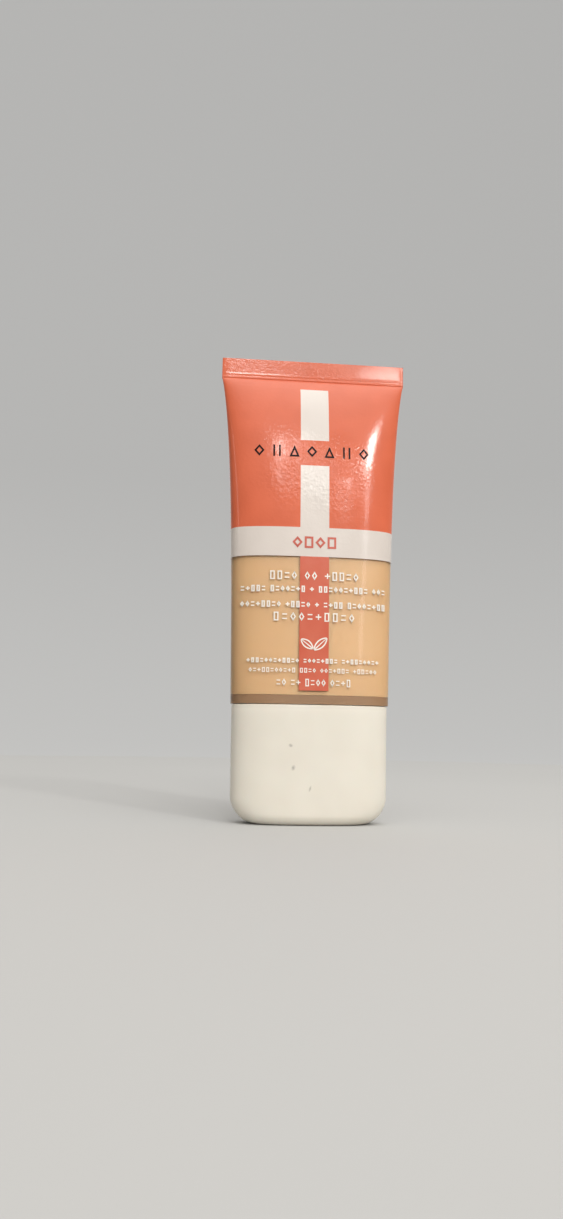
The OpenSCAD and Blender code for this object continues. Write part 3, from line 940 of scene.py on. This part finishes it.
def make_stage():
    """Round pale floor that sweeps up into a wall; the wall lets the light through."""
    mat, tree, bsdf = new_material("studio_paint", (0.50, 0.497, 0.487), 0.8)
    vector = object_vector(tree)
    skin = place_group(tree, GRAIN, vector, Grain_Scale=260.0, Wave_Scale=6.0, Grain_Share=0.4)
    tone = mix_color(tree, skin.outputs["Mottle"], (0.49, 0.487, 0.477), (0.51, 0.507, 0.497))
    tree.links.new(tone, bsdf.inputs["Base Color"])
    bump(tree, bsdf, skin.outputs["Height"], 0.05 * MM)

    flat, sweep, wall, sides, steps = 0.55, 0.35, 2.2, 128, 12
    deselect()
    bpy.ops.mesh.primitive_circle_add(vertices=sides, radius=flat, fill_type="TRIFAN")
    floor = bpy.context.object
    floor.name = "studio_floor"
    floor.data.materials.append(mat)

    turns = [math.radians(90 * i / steps) for i in range(steps + 1)]
    profile = [(flat + sweep * math.sin(t), sweep * (1 - math.cos(t))) for t in turns]
    profile.append((flat + sweep, wall))
    around = [math.radians(360 * i / sides) for i in range(sides + 1)]
    back = grid_sheet("studio_wall", around, profile,
                      lambda a, rz: Vector((rz[0] * math.cos(a), rz[0] * math.sin(a), rz[1])))
    weld(back, 0.01 * MM)
    smooth(back, 60)
    back.data.materials.append(glowing_paint())
    back.visible_shadow = False
    back.visible_diffuse = False
    back.visible_glossy = False
    back.visible_transmission = False


def aim(azimuth, elevation):
    """Direction from the tube; azimuth 0 is straight in front of it, and turns to its right."""
    a, e = math.radians(azimuth), math.radians(elevation)
    return Vector((math.sin(a) * math.cos(e), -math.cos(a) * math.cos(e), math.sin(e)))


def softbox(name, azimuth, elevation, wide, tall, power, distance=1.0, height=0.09):
    """Area light aimed at the upper tube; wide and tall are the angles that it covers there."""
    away = aim(azimuth, elevation)
    data = bpy.data.lights.new(name, "AREA")
    data.shape = "RECTANGLE"
    data.size = 2 * distance * math.tan(math.radians(wide / 2))
    data.size_y = 2 * distance * math.tan(math.radians(tall / 2))
    data.energy = power
    data.color = (1.0, 0.985, 0.96)
    lamp = bpy.data.objects.new(name, data)
    bpy.context.scene.collection.objects.link(lamp)
    lamp.location = Vector((0, 0, height)) + away * distance
    lamp.rotation_mode = "QUATERNION"
    lamp.rotation_quaternion = away.to_track_quat("Z", "Y")
    lamp.visible_camera = False


def make_sky():
    """Soft light from all round, brightest high up in front and to the right."""
    world = bpy.data.worlds.new("studio_air")
    bpy.context.scene.world = world
    world.use_nodes = True
    tree = world.node_tree
    sky = tree.nodes["Background"]
    direction = add(tree, "ShaderNodeTexCoord").outputs["Generated"]
    everywhere = 0.06
    level = None
    for azimuth, elevation, sharp, strength in ((14, 60, 6.0, 2.9), (165, 45, 2.0, 0.85)):
        facing = add(tree, "ShaderNodeVectorMath", operation="DOT_PRODUCT")
        tree.links.new(direction, facing.inputs[0])
        facing.inputs[1].default_value = aim(azimuth, elevation)
        lobe = math_node(tree, "POWER", ramp(tree, facing.outputs["Value"], 0, 1), sharp)
        lobe = math_node(tree, "MULTIPLY", lobe, strength)
        level = lobe if level is None else math_node(tree, "ADD", level, lobe)
    sky.inputs["Color"].default_value = (1.0, 0.985, 0.955, 1)
    tree.links.new(math_node(tree, "ADD", level, everywhere), sky.inputs["Strength"])


def make_lights():
    make_sky()
    # azimuth, elevation, width and height in degrees, then watts
    softbox("key_strip", 30.0, 28, 4.4, 7.0, 1.8)
    softbox("low_strip", 30.8, 21, 4.2, 7, 0.22)
    softbox("tail_strip", 30.5, 11, 3.6, 13, 0.09)
    softbox("front_glow", 1.0, 29, 7, 5.5, 1.1)
    softbox("crimp_glow", 15, 23, 6.5, 2.2, 0.65)
    softbox("left_strip", -68, 16, 3, 8, 0.10)


def make_camera():
    """A 26 mm lens close to the front, a little low and to the left, turned with the tube."""
    data = bpy.data.cameras.new("camera")
    data.lens = 26.01
    data.sensor_width = 36
    data.clip_start = 0.01
    data.clip_end = 50
    camera = bpy.data.objects.new("camera", data)
    bpy.context.scene.collection.objects.link(camera)
    tilt, roll, turn = math.radians(98.006), math.radians(-0.999), math.radians(-5.533)
    place = Vector((-27.6, -215.86, 21.35)) * MM
    camera.matrix_world = Matrix.Translation(place) @ Euler((tilt, roll, turn)).to_matrix().to_4x4()
    bpy.context.scene.camera = camera


make_stage()
make_lights()
make_camera()
bpy.context.scene.view_settings.view_transform = "Standard"
